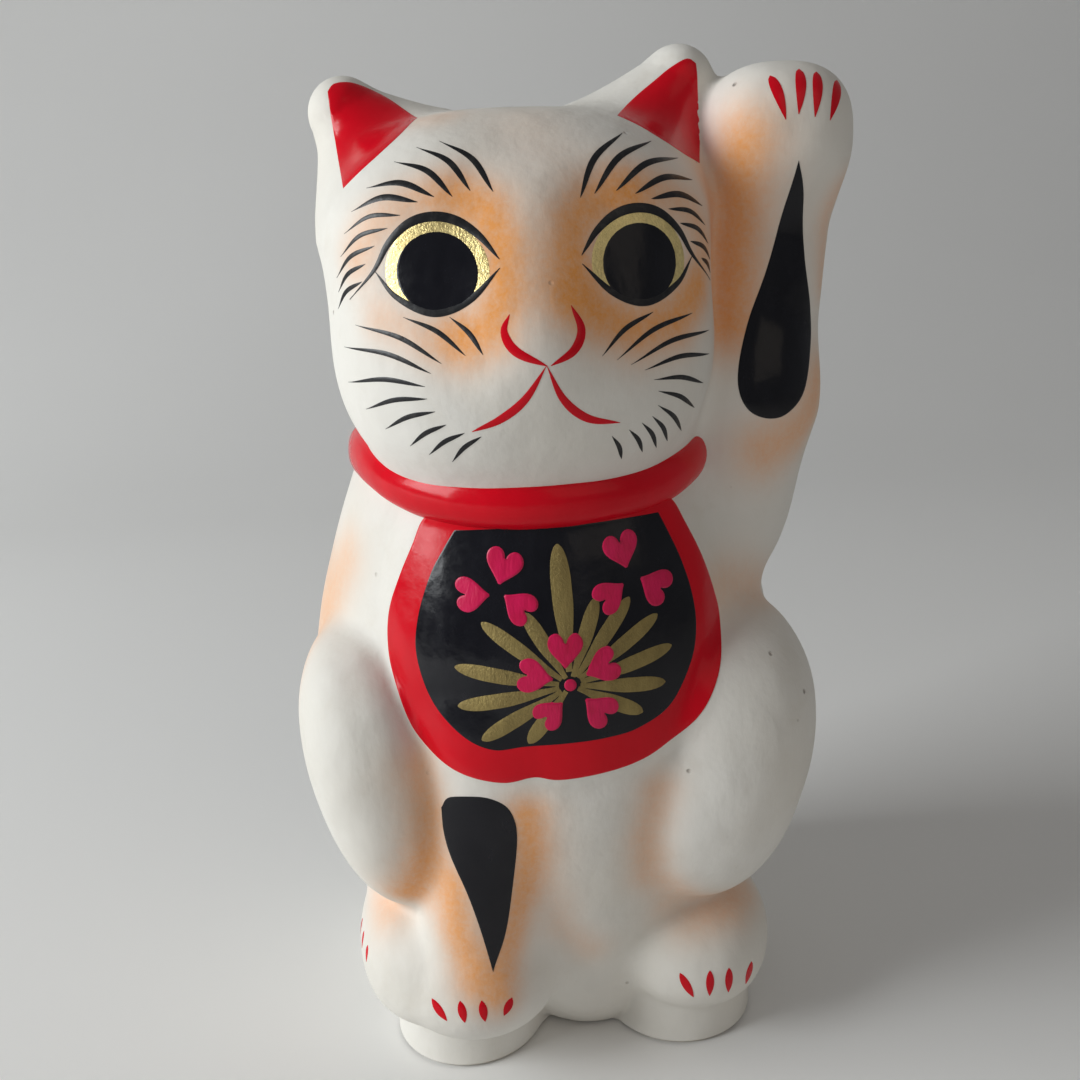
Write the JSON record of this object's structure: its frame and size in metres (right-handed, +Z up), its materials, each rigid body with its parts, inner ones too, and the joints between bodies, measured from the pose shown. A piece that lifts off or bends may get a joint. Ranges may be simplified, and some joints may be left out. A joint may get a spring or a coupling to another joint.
{
  "type": "beckoning cat figurine",
  "caption": "Hollow papier-mache beckoning cat on a lobed plinth, its left paw raised beside the ear, with painted face, red collar and patterned bib.",
  "frame": {"origin": "on the table under the middle of the plinth, on the underside of the base paper", "axes": "+Z up, -Y the way the cat faces, +X towards the raised paw"},
  "size_m": [0.0985, 0.086, 0.1766],
  "materials": {
    "shell_white": "matt",
    "enamel_red": "gloss",
    "enamel_black": "gloss",
    "brush_black": "satin",
    "enamel_pink": "satin",
    "gold_eye": "satin",
    "gold_bib": "satin",
    "strip_paper": "matt",
    "grey_board": "matt",
    "clay": "matt",
    "cover_paper": "matt"
  },
  "bodies": {
    "root": {"front_shell": "shell_white", "back_shell": "shell_white", "seam_strip_left": "strip_paper", "seam_strip_top": "strip_paper", "seam_strip_right": "strip_paper", "base_board": "grey_board", "ballast_weight": "clay", "base_paper": "cover_paper"}
  },
  "joints": []
}
